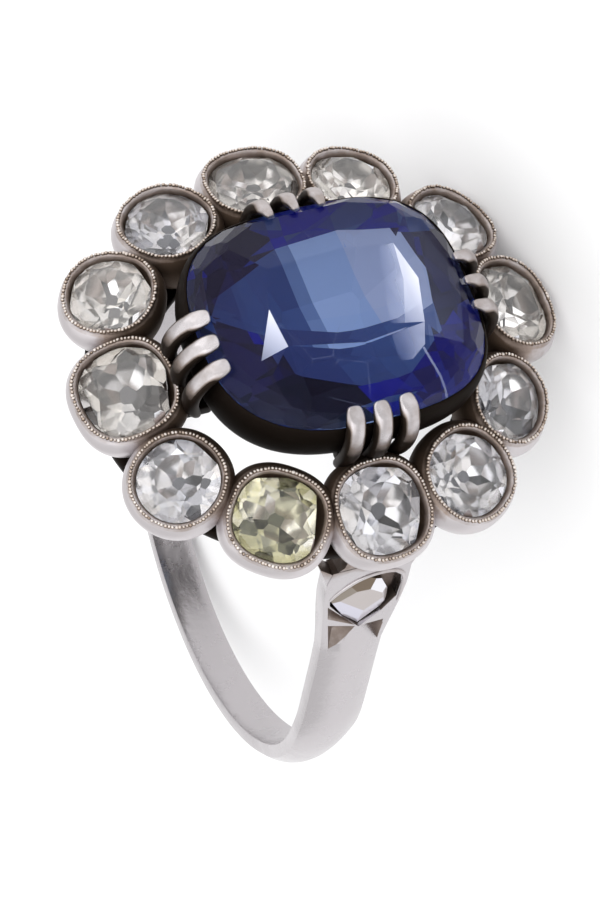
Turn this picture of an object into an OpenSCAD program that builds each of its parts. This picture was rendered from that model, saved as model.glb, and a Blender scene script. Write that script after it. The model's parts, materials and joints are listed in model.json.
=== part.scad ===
// Cluster ring: an oblong blue cushion stone in grouped claws, inside a halo of twelve stones in
// rub-over collets, on a D-section hoop with a kite-shaped stone in each shoulder.
// The ring is drawn upright, with X along the finger and Z up through the head, and then laid on
// the side of its head and hoop, which is how it rests by itself.

/* [Hoop] */
// Inner diameter of the finger hole
hole_d = 17.4; // [16.6:0.1:18.2]
// Lean of the straight sides of the hoop towards the head, in degrees
side_lean = 10; // [8:0.5:12]
// Thickness of the hoop in the middle of its low dome
hoop_crown = 0.9; // [0.8:0.05:1.1]
// Thickness of the hoop at its two edges
hoop_edge = 0.5; // [0.4:0.05:0.7]
// Width of the hoop at the back of the finger
back_w = 1.5; // [1.3:0.05:2]
// Width of the hoop at the sides of the finger
side_w = 2.55; // [2.4:0.05:2.7]
// Width of the shoulder plate below the halo
plate_w = 3.4; // [3.2:0.05:3.6]
// Thickness of the shoulder plate
plate_t = 0.7; // [0.65:0.05:0.85]

/* [Halo] */
// Height of the collet rims above the centre of the finger hole
rim_z = 13.9; // [13.6:0.1:14.2]
// Outward tilt of the collets, in degrees
halo_tilt = 20; // [16:1:22]
// Depth of a collet from its rim to its open back
collet_h = 2.3; // [2.2:0.05:2.4]
// How far a collet's wall swells out below its rim
collet_swell = 0.3; // [0.25:0.01:0.34]
// Thickness of a collet's wall at its rim
rim_t = 0.2; // [0.18:0.01:0.22]
// Clearance between a stone and the metal round it
stone_gap = 0.04; // [0.03:0.01:0.05]

/* [Centre stone] */
// Length of the centre stone, along the finger
gem_l = 10.6; // [10.4:0.1:10.8]
// Width of the centre stone
gem_w = 9; // [8.8:0.1:9.2]
// Height of the centre stone's girdle above the centre of the finger hole
gem_z = 16.1; // [16:0.05:16.2]
// Height of the centre stone's table above its girdle
gem_crown = 1.35; // [1.3:0.05:1.4]
// Depth of the centre stone below its girdle
gem_depth = 3.6; // [3.3:0.1:3.8]
// Width of a claw
claw_w = 0.8; // [0.7:0.05:0.85]
// Spacing of the three claws on each side
claw_pitch = 1.05; // [1:0.01:1.1]

/* [Resting] */
// Turn about the finger axis that settles the ring on the floor, in degrees
rest_roll = -15.86; // [-16.5:0.01:-15]
// Tip from upright on to the side, in degrees
rest_tip = 70.58; // [70:0.01:71]
// Height of the centre of the finger hole above the floor
rest_z = 4.58; // [4:0.01:5]
// Place of the centre of the finger hole along X, with the ring's box centred
rest_x = -4.33; // [-5:0.01:-4]
// Place of the centre of the finger hole along Y, with the ring's box centred
rest_y = 0; // [-0.5:0.01:0.5]

/* [Hidden] */

hole_r = hole_d / 2;
turn_angle = 90 + side_lean;
plate_top_z = 10;
bore_l = 12;
cut_depth = 0.3;

// Collets, clockwise from the far shoulder: x and y of the rim's centre, size across the halo's
// radius and along its edge, squareness of the outline (2 is an ellipse) and its turn in degrees
collets = [
    [0.23, 7.12, 3.62, 3.75, 2.3, 0],
    [3.89, 6.25, 3.55, 3.5, 2.2, 8],
    [6.93, 3.6, 3.3, 3.5, 2.3, 0],
    [8.03, -0.14, 3.2, 3.85, 2.3, 0],
    [6.35, -3.92, 3.15, 3.6, 2.1, 0],
    [3.73, -6.43, 3.6, 3.6, 2.2, 0],
    [0.02, -6.96, 3.75, 3.65, 2.4, 4],
    [-3.91, -6.3, 3.6, 3.75, 2.4, -6],
    [-6.97, -3.87, 3.6, 3.5, 2.1, 0],
    [-7.56, 0.14, 3.8, 3.9, 2.5, 5],
    [-6.73, 4.06, 3.5, 3.5, 2.2, 0],
    [-3.59, 6.34, 3.65, 3.5, 2.2, 0]];
collet_n = len(collets);
collet_sides = 20;

// Collet wall, from the rim's outer edge round the outside, the open back and the stone's seat:
// growth of the outline and depth below the rim
collet_wall = [
    [0, 0], [0.14, 0.1], [collet_swell, 0.5], [collet_swell - 0.08, 1.1], [-0.08, 1.75], [-0.45, collet_h],
    [-1, collet_h], [-0.9, 1.4], [-0.5, 0.66], [-rim_t - 0.03, 0.42], [-rim_t, 0]];

// Halo stone, in parts of its girdle's size: table, star corners, lower-half corners and culet,
// then heights above the girdle in millimetres
table_part = 0.5;
star_part = 0.74;
lower_part = 0.36;
culet_part = 0.13;
stone_sink = 0.3;
stone_girdle = 0.05;
side_gap = 0.05;
stone_crown = 0.5;
stone_star_z = 0.33;
stone_depth = 1.25;
stone_lower_z = 0.82;

// Centre stone: parts of the girdle's size and height as a part of the crown or the depth
gem_n = 3.15;
gem_soft = 0.6;
gem_soft_at = 220;
gem_x = 0.3;
gem_y = 0.05;
gem_sides = 24;
gem_girdle = 0.16;
gem_above = [[0.58, 1], [0.8, 0.72], [0.94, 0.32]];
gem_below = [[0.86, 0.28], [0.62, 0.6], [0.34, 0.86], [0.08, 1]];

// Cup below the centre stone: growth of the girdle's outline and height below the girdle
cup_wall = [[0.1, 0.12], [0.22, 0.5], [0.16, 1.9], [-0.7, 2.9], [-1.5, 4.1], [-1.9, 4.1], [-1.25, 2.9],
    [-0.4, 1.9], [-0.2, 0.6], [-0.02, 0.3]];
cup_sides = 32;

// Claw path: distance out from the girdle, height from the girdle, the claw's width as a part of
// claw_w, its thickness, and how far a group's own bulge moves it out
claw_path = [
    [0.15, -2.7, 0.8, 0.5, 0], [0.42, -1.9, 0.95, 0.64, 0.8], [0.56, -1, 1, 0.7, 1], [0.5, -0.2, 1, 0.64, 0.5],
    [0.26, 0.34, 0.97, 0.54, 0.1], [-0.04, 0.6, 0.88, 0.4, 0], [-0.34, 0.7, 0.6, 0.24, 0]];
claw_sides = 8;

// Rail below the collets, an oval ring
rail_l = 16.7;
rail_w = 15.2;
rail_in = 2.4;
rail_t = 0.6;
rail_z = rim_z - collet_h - 0.1;
rail_sides = 48;

// Hoop sections from the back of the finger to the halo: height, width, edge and crown thickness
hoop_rows = [
    [-hole_r, back_w, hoop_edge, hoop_crown],
    [-0.6 * hole_r, back_w + 0.15, hoop_edge, hoop_crown],
    [0, side_w - 0.1, hoop_edge, hoop_crown],
    [4.4, side_w - 0.1, hoop_edge + 0.05, hoop_crown],
    [5.6, side_w - 0.05, plate_t - 0.15, plate_t + 0.15],
    [6.6, side_w + 0.2, plate_t - 0.08, plate_t + 0.06],
    [7.6, plate_w - 0.35, plate_t - 0.03, plate_t + 0.02],
    [8.8, plate_w - 0.05, plate_t, plate_t],
    [plate_top_z, plate_w, plate_t, plate_t]];
dome_steps = 8;
arc_step = 7;
side_step = 1;

// Shoulder plate above the hoop's last section: half width and height of its outline
plate_top = [
    [plate_w / 2 - 0.1, 9.2], [plate_w / 2 - 0.03, 10], [plate_w / 2 + 0.42, 11.15],
    [plate_w / 2 - 0.2, 10.6], [1.1, 10.9], [0.9, 11.7]];

plate_step = 0.02;
recess_depth = 0.55;

// Kite-shaped recess of the shoulder stone: half width and height of its corners
kite = [[0, 6.95], [1.42, 8.55], [1.2, 9.5], [0.55, 9.9]];
kite_stone = [[0, 7.03], [1.34, 8.58], [0.9, 9.15], [0.35, 9.3]];

// Shoulder stone, from its table down: size as a part of its outline and height from the plate's face
kite_mid = 8.35;
kite_cut = [[0.34, 0.02], [0.72, -0.08], [1, -0.24], [1, -0.28], [0.62, -0.5]];

// Two cuts with the graver below each shoulder stone: corners as half width and height, and depth
graver_cut = [[0.14, 6.95], [1.12, 7.3], [0.98, 5.65]];
graver_depth = 0.42;

// A value worked out between the rows of a table, from its first column
function between(rows, x, col, i = 0) =
    i >= len(rows) - 2 || x <= rows[i + 1][0]
        ? rows[i][col] + (rows[i + 1][col] - rows[i][col])
            * max(0, min(1, (x - rows[i][0]) / (rows[i + 1][0] - rows[i][0])))
        : between(rows, x, col, i + 1);

// Distance from the centre to a squared oval's edge
function oval_r(t, a, b, n) = pow(pow(abs(cos(t)) / a, n) + pow(abs(sin(t)) / b, n), -1 / n);

// Closed ring of points on a squared oval at a height
function oval_ring(a, b, n, z, count, start = 0) =
    [for (i = [0:count - 1]) let(t = start + 360 * i / count, r = oval_r(t, a, b, n)) [r * cos(t), r * sin(t), z]];

function ring_faces(j, k, count) =
    [for (i = [0:count - 1], f = [0, 1]) let(m = (i + 1) % count)
        f == 0 ? [j * count + i, j * count + m, k * count + m] : [j * count + i, k * count + m, k * count + i]];

function cap_faces(first, count, up) =
    [for (i = [1:count - 2]) up ? [first, first + i + 1, first + i] : [first, first + i, first + i + 1]];

function all_points(rings) = [for (r = rings, p = r) p];

// Solid between rings that are stacked from the bottom up
module stack(rings) {
    count = len(rings[0]);
    last = len(rings) - 1;
    faces = concat(
        [for (j = [0:last - 1], f = ring_faces(j + 1, j, count)) f],
        cap_faces(0, count, false), cap_faces(last * count, count, true));
    polyhedron(points = all_points(rings), faces = faces);
}

// Wall whose section is a closed loop of rings, listed from the top down the outside and up inside
module wall(rings) {
    count = len(rings[0]);
    last = len(rings);
    polyhedron(points = all_points(rings), faces = [for (j = [0:last - 1], f = ring_faces(j, (j + 1) % last, count)) f]);
}

// Point and outward normal of the inside of the hoop at a distance along it from the back
arc_l = hole_r * turn_angle * PI / 180;
arc_end = [hole_r * sin(turn_angle), -hole_r * cos(turn_angle)];
function path_angle(s) = s < arc_l ? s / hole_r * 180 / PI : turn_angle;
function path_point(s) = s < arc_l
    ? [hole_r * sin(path_angle(s)), -hole_r * cos(path_angle(s))]
    : arc_end + (s - arc_l) * [cos(turn_angle), sin(turn_angle)];
function path_normal(s) = [sin(path_angle(s)), -cos(path_angle(s))];
side_l = (plate_top_z - arc_end[1]) / cos(side_lean);

// One D-shaped section of the hoop, on the side of the finger given by way
function hoop_section(s, way) =
    let(p = path_point(s), out = path_normal(s), z = p[1],
        w = between(hoop_rows, z, 1), edge = between(hoop_rows, z, 2), crown = between(hoop_rows, z, 3),
        inner = s < arc_l - 2 ? -cut_depth : 0,
        outline = concat([[w / 2, inner]],
            [for (i = [0:dome_steps]) let(x = 1 - 2 * i / dome_steps) [x * w / 2, edge + (crown - edge) * (1 - x * x)]],
            [[-w / 2, inner]]))
    [for (q = outline) [q[0], way * (p[0] + out[0] * q[1]), p[1] + out[1] * q[1]]];

arc_n = floor(arc_l / (hole_r * arc_step * PI / 180));
side_n = floor(side_l / side_step);
hoop_places = concat(
    [for (i = [0:arc_n]) arc_l * i / arc_n],
    [for (i = [1:side_n]) arc_l + side_l * i / side_n]);
hoop_last = len(hoop_places) - 1;

module hoop_band() {
    rings = concat(
        [for (i = [0:hoop_last]) hoop_section(hoop_places[hoop_last - i], -1)],
        [for (i = [1:hoop_last]) hoop_section(hoop_places[i], 1)]);
    stack(rings);
}

// The flat face of a shoulder: first axis across it, second up it, third outward
face_place = path_point(arc_l) + plate_t * path_normal(arc_l);
function up_face(z) = (z - face_place[1]) / cos(side_lean);

module at_shoulder(way) {
    rotate([0, 0, way > 0 ? 180 : 0])
        translate([0, -face_place[0], face_place[1]])
            rotate([90 - side_lean, 0, 0])
                children();
}

// Outline given as half width and height, grown or shrunk about a middle height, at a level
function face_ring(outline, mid, part, level) =
    [for (q = outline) [mid[0] + part * (q[0] - mid[0]), up_face(mid[1]) + part * (up_face(q[1]) - up_face(mid[1])), level]];

function both_sides(half) = concat(half, [for (i = [len(half) - 1:-1:0]) if (half[i][0] > 0) [-half[i][0], half[i][1]]]);

module shoulder_plate(way) {
    at_shoulder(way)
        translate([0, 0, plate_step - plate_t])
            linear_extrude(plate_t - 2 * plate_step)
                polygon([for (q = both_sides(plate_top)) [q[0], up_face(q[1])]]);
}

module shoulder_cuts(way) {
    at_shoulder(way) {
        translate([0, 0, -recess_depth])
            linear_extrude(2)
                polygon([for (q = both_sides(kite)) [q[0], up_face(q[1])]]);
        for (side = [-1, 1]) {
            cut = [for (q = side < 0 ? [for (k = [2:-1:0]) graver_cut[k]] : graver_cut) [-side * q[0], q[1]]];
            mid = (cut[0] + cut[1] + cut[2]) / 3;
            stack([face_ring(cut, mid, 0.1, -graver_depth), face_ring(cut, mid, 1.9, graver_depth)]);
        }
    }
}

// A collet's own place: rim up, first axis outward
module at_collet(i) {
    c = collets[i];
    translate([c[0], c[1], rim_z])
        rotate([0, 0, 90 - 360 * i / collet_n])
            rotate([0, halo_tilt, 0])
                rotate([0, 0, c[5]])
                    children();
}

module collet(i) {
    c = collets[i];
    at_collet(i)
        wall([for (w = collet_wall) oval_ring(c[2] / 2 + w[0], c[3] / 2 + w[0], c[4], -w[1], collet_sides)]);
}

module gallery_rail() {
    wall([
        oval_ring(rail_l / 2, rail_w / 2, 2, rail_z + rail_t, rail_sides),
        oval_ring(rail_l / 2, rail_w / 2, 2, rail_z, rail_sides),
        oval_ring(rail_l / 2 - rail_in, rail_w / 2 - rail_in, 2, rail_z, rail_sides),
        oval_ring(rail_l / 2 - rail_in, rail_w / 2 - rail_in, 2, rail_z + rail_t, rail_sides)]);
}

module centre_cup() {
    translate([gem_x, gem_y, gem_z])
        wall([for (w = cup_wall) oval_ring(gem_l / 2 + w[0], gem_w / 2 + w[0], gem_n, -w[1], cup_sides)]);
}

// Claw drawn outward along X, flat inside and round outside
module claw(bulge) {
    last = len(claw_path) - 1;
    rings = [for (j = [0:last]) let(
        p = claw_path[j], a = claw_path[max(0, j - 1)], b = claw_path[min(last, j + 1)],
        dir = atan2(b[1] - a[1], b[0] - a[0]), out = [sin(dir), -cos(dir)])
        [for (k = [0:claw_sides - 1]) let(t = 360 * (k + 0.5) / claw_sides,
            u = p[3] / 2 * (cos(t) < 0 ? 0.7 : 1) * cos(t), v = claw_w / 2 * p[2] * sin(t) * 1.04)
            [p[0] + bulge * p[4] + out[0] * u, v, p[1] + out[1] * u]]];
    stack(rings);
}

// Claws stand in threes on each side: angle round the stone, distance of the girdle, shift of the
// group along that side and its bulge; the outer two claws of each group turn by claw_fan
claw_groups = [
    [0, gem_l / 2, -0.24, 0], [90, gem_w / 2, 0.16, 0], [180, gem_l / 2, 0.24, 0.22], [270, gem_w / 2, 0, 0]];
claw_fan = 5;

module claws() {
    translate([gem_x, gem_y, gem_z])
        for (g = claw_groups, k = [-1, 0, 1])
            rotate([0, 0, g[0]])
                translate([g[1] - 0.04 * abs(k), g[2] + k * claw_pitch, 0])
                    rotate([0, 0, k * claw_fan])
                        claw(g[3]);
}

// Struts from the cup to the collets, below each group of claws
strut_w = 1.7;
strut_t = 0.65;
strut_z = 12.6;
strut_in = 0.7;
strut_out = 1.15;

module struts() {
    translate([gem_x, gem_y, strut_z])
        for (g = claw_groups)
            rotate([0, 0, g[0]])
                translate([g[1] - strut_in, g[2] - strut_w / 2, 0])
                    cube([strut_in + strut_out, strut_w, strut_t]);
}

// All soldered metal, joined as one skin; a resize by zeros changes no size
module metal() {
    resize([0, 0, 0])
        union() {
            difference() {
                union() {
                    hoop_band();
                    shoulder_plate(-1);
                    shoulder_plate(1);
                }
                shoulder_cuts(-1);
                shoulder_cuts(1);
            }
            for (i = [0:collet_n - 1]) collet(i);
            gallery_rail();
            centre_cup();
            claws();
            struts();
        }
}

// Lays the upright ring on its side on the floor
module lying() {
    translate([rest_x, rest_y, rest_z])
        rotate([0, rest_tip, 0])
            rotate([0, 0, rest_roll])
                children();
}

module ring_mount() {
    color("silver")
        lying()
            difference() {
                metal();
                rotate([0, 90, 0]) cylinder(r = hole_r, h = bore_l, center = true, $fn = 180);
            }
}

// Cut stone with a table, eight-fold crown and pavilion, and a small open culet
module cut_stone(a, b, n) {
    table = oval_ring(a * table_part, b * table_part, n, stone_crown, 8);
    star = oval_ring(a * star_part, b * star_part, n, stone_star_z, 8, 22.5);
    upper = oval_ring(a, b, n, 0, 16);
    under = oval_ring(a, b, n, -stone_girdle, 16);
    low = oval_ring(a * lower_part, b * lower_part, n, -stone_lower_z, 8, 22.5);
    culet = oval_ring(a * culet_part, b * culet_part, n, -stone_depth, 8, 22.5);
    t = 0; s = 8; u = 16; g = 32; l = 48; c = 56;
    faces = [for (k = [0:7]) let(m = (k + 1) % 8, h = (k + 7) % 8, e = 2 * k, f = 2 * k + 1, q = (2 * k + 2) % 16)
        each [
            [t + k, t + m, s + k], [t + k, s + k, u + e], [t + k, u + e, s + h],
            [s + k, u + f, u + e], [s + k, u + q, u + f],
            [u + e, g + f, g + e], [u + e, u + f, g + f], [u + f, g + q, g + f], [u + f, u + q, g + q],
            [g + e, g + f, l + k], [g + f, g + q, l + k],
            [g + e, c + h, l + h], [g + e, c + k, c + h], [g + e, l + k, c + k]]];
    polyhedron(points = concat(table, star, upper, under, low, culet),
        faces = concat(faces, cap_faces(t, 8, true), cap_faces(c, 8, false)));
}

module halo_stone(i) {
    c = collets[i];
    less = rim_t + stone_gap + side_gap;
    color("gainsboro")
        lying()
            at_collet(i)
                translate([0, 0, -stone_sink])
                    cut_stone(c[2] / 2 - less, c[3] / 2 - less, c[4]);
}

// One level of the centre stone, whose near left corner is rounder than the others
function gem_ring(part, z) =
    [for (i = [0:gem_sides - 1]) let(
        t = 360 * i / gem_sides, n = gem_n - gem_soft * max(0, cos(t - gem_soft_at)),
        r = oval_r(t, part * gem_l / 2, part * gem_w / 2, n)) [r * cos(t), r * sin(t), z]];

module centre_stone() {
    low = len(gem_below) - 1;
    high = len(gem_above) - 1;
    rings = concat(
        [for (j = [low:-1:0]) let(g = gem_below[j]) gem_ring(g[0], -gem_girdle - (gem_depth - gem_girdle) * g[1])],
        [gem_ring(1, -gem_girdle), gem_ring(1, 0)],
        [for (j = [high:-1:0]) let(g = gem_above[j]) gem_ring(g[0], gem_crown * g[1])]);
    color("midnightblue")
        lying()
            translate([gem_x, gem_y, gem_z])
                stack(rings);
}

// Kite-shaped stone in a shoulder's recess, with a small table and two rows of facets
module shoulder_stone(way) {
    outline = both_sides(kite_stone);
    last = len(kite_cut) - 1;
    color("gainsboro")
        lying()
            at_shoulder(way)
                stack([for (j = [last:-1:0]) face_ring(outline, [0, kite_mid], kite_cut[j][0], kite_cut[j][1])]);
}

ring_mount();
centre_stone();
for (i = [0:collet_n - 1])
    halo_stone(i);
shoulder_stone(-1);  // shoulder_stone_1
shoulder_stone(1);  // shoulder_stone_2
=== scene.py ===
import json
import random
from math import atan2, copysign, cos, pi, radians, sin

import bmesh
import bpy
from mathutils import Matrix, Vector

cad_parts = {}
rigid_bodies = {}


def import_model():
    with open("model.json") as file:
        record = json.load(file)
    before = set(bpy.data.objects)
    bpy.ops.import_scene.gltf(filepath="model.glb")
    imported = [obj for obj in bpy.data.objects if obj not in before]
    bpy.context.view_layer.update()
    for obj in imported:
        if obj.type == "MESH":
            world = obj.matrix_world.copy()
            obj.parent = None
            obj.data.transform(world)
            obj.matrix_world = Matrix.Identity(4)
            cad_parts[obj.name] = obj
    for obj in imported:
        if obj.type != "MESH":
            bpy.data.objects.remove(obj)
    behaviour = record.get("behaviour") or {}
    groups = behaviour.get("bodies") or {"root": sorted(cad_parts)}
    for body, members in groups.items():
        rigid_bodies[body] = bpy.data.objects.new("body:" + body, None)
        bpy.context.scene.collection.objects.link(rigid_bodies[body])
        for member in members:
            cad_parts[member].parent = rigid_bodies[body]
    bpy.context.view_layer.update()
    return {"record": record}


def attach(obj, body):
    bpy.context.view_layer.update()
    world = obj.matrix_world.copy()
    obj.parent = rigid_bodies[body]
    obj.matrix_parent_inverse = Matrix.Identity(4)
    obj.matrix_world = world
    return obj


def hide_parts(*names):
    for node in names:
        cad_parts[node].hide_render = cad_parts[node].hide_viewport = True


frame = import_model()
print("frame loaded")


def turned(degrees, axis):
    return Matrix.Rotation(radians(degrees), 4, axis)


# the ring is drawn upright in millimetres, then laid on its side where the solids lie
rest = {"roll": -15.86, "tip": 70.58, "mm": 0.001}
holeCentre = Vector(frame["record"]["mounts"][0]["pos_m"])
upright = (Matrix.Translation(holeCentre) @ turned(rest["tip"], "Y") @ turned(rest["roll"], "Z")
           @ Matrix.Scale(rest["mm"], 4))

# small helpers; points nearer than this in mm are merged: in a piece, across a mirror and along a cut
merge = {"piece": 0.002, "mirror": 0.001, "cut": 0.0005}


def clearSelection():
    bpy.ops.object.select_all(action="DESELECT")


def keepActive(piece):
    clearSelection()
    piece.select_set(True)
    bpy.context.view_layer.objects.active = piece


def startPiece(name, add, **settings):
    # Adds a primitive with nothing else selected.
    clearSelection()
    add(**settings)
    piece = bpy.context.object
    piece.name = name
    return piece


def startEdit(piece):
    # in edit mode, with all of the piece selected
    keepActive(piece)
    bpy.ops.object.mode_set(mode="EDIT")
    bpy.ops.mesh.select_all(action="SELECT")


def endEdit():
    bpy.ops.object.mode_set(mode="OBJECT")


def pick(piece, kind, test):
    # Selects what passes the test, in edit mode.
    bpy.ops.mesh.select_mode(type=kind)
    bpy.ops.mesh.select_all(action="DESELECT")
    mesh = bmesh.from_edit_mesh(piece.data)
    mesh.normal_update()
    for part in {"VERT": mesh.verts, "EDGE": mesh.edges, "FACE": mesh.faces}[kind]:
        if test(part):
            part.select_set(True)
    mesh.select_flush_mode()
    bmesh.update_edit_mesh(piece.data)


def extrude(move):
    bpy.ops.mesh.extrude_region_move(TRANSFORM_OT_translate={"value": move})


def addModifier(piece, kind, **settings):
    keepActive(piece)
    modifier = piece.modifiers.new(kind.lower(), kind)
    for name, value in settings.items():
        setattr(modifier, name, value)
    bpy.ops.object.modifier_apply(modifier=modifier.name)


def turnOut(piece):
    startEdit(piece)
    bpy.ops.mesh.remove_doubles(threshold=merge["piece"])
    bpy.ops.mesh.normals_make_consistent(inside=False)
    endEdit()


def smoothByAngle(piece, degrees):
    keepActive(piece)
    bpy.ops.object.shade_smooth_by_angle(angle=radians(degrees))


def copyOf(piece, name):
    # a copy with its own mesh
    keepActive(piece)
    bpy.ops.object.duplicate(linked=False)
    twin = bpy.context.object
    twin.name = name
    return twin


def placed(piece, place):
    # Moves a piece, and keeps its new place in its mesh.
    keepActive(piece)
    piece.matrix_world = place
    bpy.ops.object.transform_apply()
    return piece


def finishPiece(piece, place, node, slotName, *materials, slots=()):
    # Puts a piece where the solids lie, gives it its materials and body, and hides the model's part that it
    # stands for.
    placed(piece, upright @ place)
    piece.data.materials.clear()
    for material in materials:
        piece.data.materials.append(material)
    for face, slot in zip(piece.data.polygons, slots):
        face.material_index = slot
    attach(piece, "root")
    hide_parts(node)


def finishMetal(piece, place, material):
    finishPiece(piece, place, "ring_mount", "white_metal", material)


def smooth(edge0, edge1, value):
    part = max(0.0, min(1.0, (value - edge0) / (edge1 - edge0)))
    return part * part * (3 - 2 * part)


def paint(piece, name, shade):
    # Writes a value for each point, worked out from its place.
    values = piece.data.attributes.new(name, "FLOAT", "POINT")
    for vert, value in zip(piece.data.vertices, values.data):
        value.value = shade(vert.co)


def paintCorners(piece, name, shade):
    # the same for each corner of each face, so that a value can stop at an edge
    mesh = piece.data
    values = mesh.attributes.new(name, "FLOAT", "CORNER")
    for face in mesh.polygons:
        for index in face.loop_indices:
            values.data[index].value = shade(mesh.vertices[mesh.loops[index].vertex_index].co, face.center)


def sidesOf(corners):
    return zip(corners, corners[1:] + corners[:1])


def inside(corners, place):
    signs = [(x1 - x0) * (place.y - y0) - (y1 - y0) * (place.x - x0)
             for (x0, y0), (x1, y1) in sidesOf(corners)]
    return all(s > 0 for s in signs) or all(s < 0 for s in signs)


def between(rows, value, column):
    for low, high in zip(rows, rows[1:]):
        if value <= high[0] or high is rows[-1]:
            part = max(0.0, min(1.0, (value - low[0]) / (high[0] - low[0])))
            return low[column] + part * (high[column] - low[column])


# camera as it stood to the upright ring: directions, distance in mm, and where its aim is in the picture
view = {
    "right": Vector((0.91559, -0.35011, 0.19779)), "down": Vector((-0.22905, -0.85836, -0.45909)),
    "distance": 300, "aim": Vector((0, 0, 3.8)), "aimPixel": (261.66, 472.15), "pixelsPerMm": 26.467,
    "picture": (600, 900), "sensor": 36, "clipStart": 0.01}


def pointCamera():
    forward = view["right"].cross(view["down"]).normalized()
    across, along = (size / 2 - at for size, at in zip(view["picture"], view["aimPixel"]))
    middle = (view["aim"] + view["right"] * across / view["pixelsPerMm"]
              + view["down"] * along / view["pixelsPerMm"])
    eye = upright @ (view["aim"] - forward * view["distance"])
    back = (eye - upright @ middle).normalized()
    up = (upright.to_3x3().normalized() @ -view["down"]).normalized()
    side = up.cross(back).normalized()
    up = back.cross(side)
    camera = startPiece("camera", bpy.ops.object.camera_add)
    camera.matrix_world = Matrix.Translation(eye) @ Matrix((side, up, back)).transposed().to_4x4()
    camera.data.sensor_width = view["sensor"]
    camera.data.lens = view["sensor"] * view["pixelsPerMm"] * view["distance"] / view["picture"][1]
    camera.data.clip_start = view["clipStart"]
    bpy.context.scene.camera = camera


pointCamera()
print("camera stands")


# squared oval, the outline of every stone and collet

def ovalRadius(turn, across, along, square):
    if callable(square):
        square = square(turn)
    sides = (abs(cos(turn)) / across) ** square + (abs(sin(turn)) / along) ** square
    return sides ** (-1 / square)


def makeOval(piece, across, along, square):
    # Moves each point of a round primitive to the squared oval, and gives the outline.
    outline = []
    for vert in piece.data.vertices:
        turn = atan2(vert.co.y, vert.co.x)
        radius = ovalRadius(turn, across, along, square)
        vert.co.x, vert.co.y = radius * cos(turn), radius * sin(turn)
        outline.append((vert.co.x, vert.co.y))
    return outline


def ovalCircle(name, across, along, square, sides, height):
    ring = startPiece(name, bpy.ops.mesh.primitive_circle_add, vertices=sides, location=(0, 0, height))
    bpy.ops.object.transform_apply()
    makeOval(ring, across, along, square)
    return ring


def ovalWall(name, across, along, square, profile, sides):
    # A closed wall round a squared oval. The profile has growth and height, from the top round.
    growth, height = profile[0]
    wall = ovalCircle(name, across + growth, along + growth, square, sides, height)
    startEdit(wall)
    for nextGrowth, nextHeight in profile[1:]:
        extrude((0, 0, nextHeight - height))
        bpy.ops.transform.resize(
            value=((across + nextGrowth) / (across + growth), (along + nextGrowth) / (along + growth), 1),
            center_override=(0, 0, 0))
        growth, height = nextGrowth, nextHeight
    pick(wall, "EDGE", lambda edge: edge.is_boundary)
    bpy.ops.mesh.bridge_edge_loops()
    endEdit()
    turnOut(wall)
    addModifier(wall, "SUBSURF", levels=1, render_levels=1)
    bpy.ops.object.shade_smooth()
    return wall


def tower(name, sides, levels, shape):
    # Extrudes a circle upwards and then moves each point where shape puts its level and angle.
    piece = startPiece(name, bpy.ops.mesh.primitive_circle_add, vertices=sides, fill_type="NGON")
    startEdit(piece)
    for level in range(levels - 1):
        extrude((0, 0, 1))
    endEdit()
    for vert in piece.data.vertices:
        vert.co = shape(round(vert.co.z), atan2(vert.co.y, vert.co.x))
    turnOut(piece)
    return piece


def plateFrom(name, outline, bottom, top):
    # A flat plate cut to an outline.
    plate = startPiece(name, bpy.ops.mesh.primitive_circle_add, vertices=len(outline), fill_type="NGON")
    for vert, (x, y) in zip(plate.data.vertices, outline):
        vert.co = (x, y, bottom)
    startEdit(plate)
    extrude((0, 0, top - bottom))
    endEdit()
    turnOut(plate)
    return plate


def carve(piece, cutter, place, operation="DIFFERENCE"):
    # Cuts a piece by a copy of the cutter, put at a place, or joins the copy to it.
    twin = placed(copyOf(cutter, "cutter"), place)
    addModifier(piece, "BOOLEAN", object=twin, operation=operation, solver="EXACT")
    bpy.data.objects.remove(twin)


# materials

def newMaterial(name):
    material = bpy.data.materials.new(name)
    material.use_nodes = True
    return material, material.node_tree, material.node_tree.nodes["Principled BSDF"]


def feed(tree, node, inputs):
    # Sets each input to its value, or links it to the output of another node.
    for name, value in inputs.items():
        if isinstance(value, bpy.types.NodeSocket):
            tree.links.new(value, node.inputs[name])
        else:
            node.inputs[name].default_value = value


def addNode(tree, kind, output, inputs=None, **settings):
    # Adds a node and gives the named one of its outputs.
    node = tree.nodes.new("ShaderNode" + kind)
    for name, value in settings.items():
        setattr(node, name, value)
    feed(tree, node, inputs or {})
    return node.outputs[output]


def noise(tree, inputs):
    place = addNode(tree, "TexCoord", "Object")
    return addNode(tree, "TexNoise", "Fac", {"Vector": place, **inputs})


def reckon(tree, operation, *values):
    return addNode(tree, "Math", 0, dict(enumerate(values)), operation=operation)


def addRamp(tree, level, stops):
    ramp = tree.nodes.new("ShaderNodeValToRGB")
    tree.links.new(level, ramp.inputs["Fac"])
    for element, (position, colour) in zip(list(ramp.color_ramp.elements), (stops[0], stops[-1])):
        element.position = position
        element.color = (*colour, 1)
    for position, colour in stops[1:-1]:
        ramp.color_ramp.elements.new(position).color = (*colour, 1)
    return ramp.outputs["Color"]


# white metal: clouds of tarnish and fine grain to the metre, the ramp's places of bright, middle and dark,
# the middle's warmth and its share of bright, and how much tarnish and painted shade roughen
silver = {
    "clouds": {"Scale": 900, "Detail": 5, "Roughness": 0.65}, "cloudShare": 0.7,
    "grain": {"Detail": 4, "Roughness": 0.6}, "depth": 0.00002,
    "rampPlaces": (0.22, 0.5, 0.85), "warmth": (1.08, 0.96, 0.85), "brightShare": 0.45, "roughening": 0.35}


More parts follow.
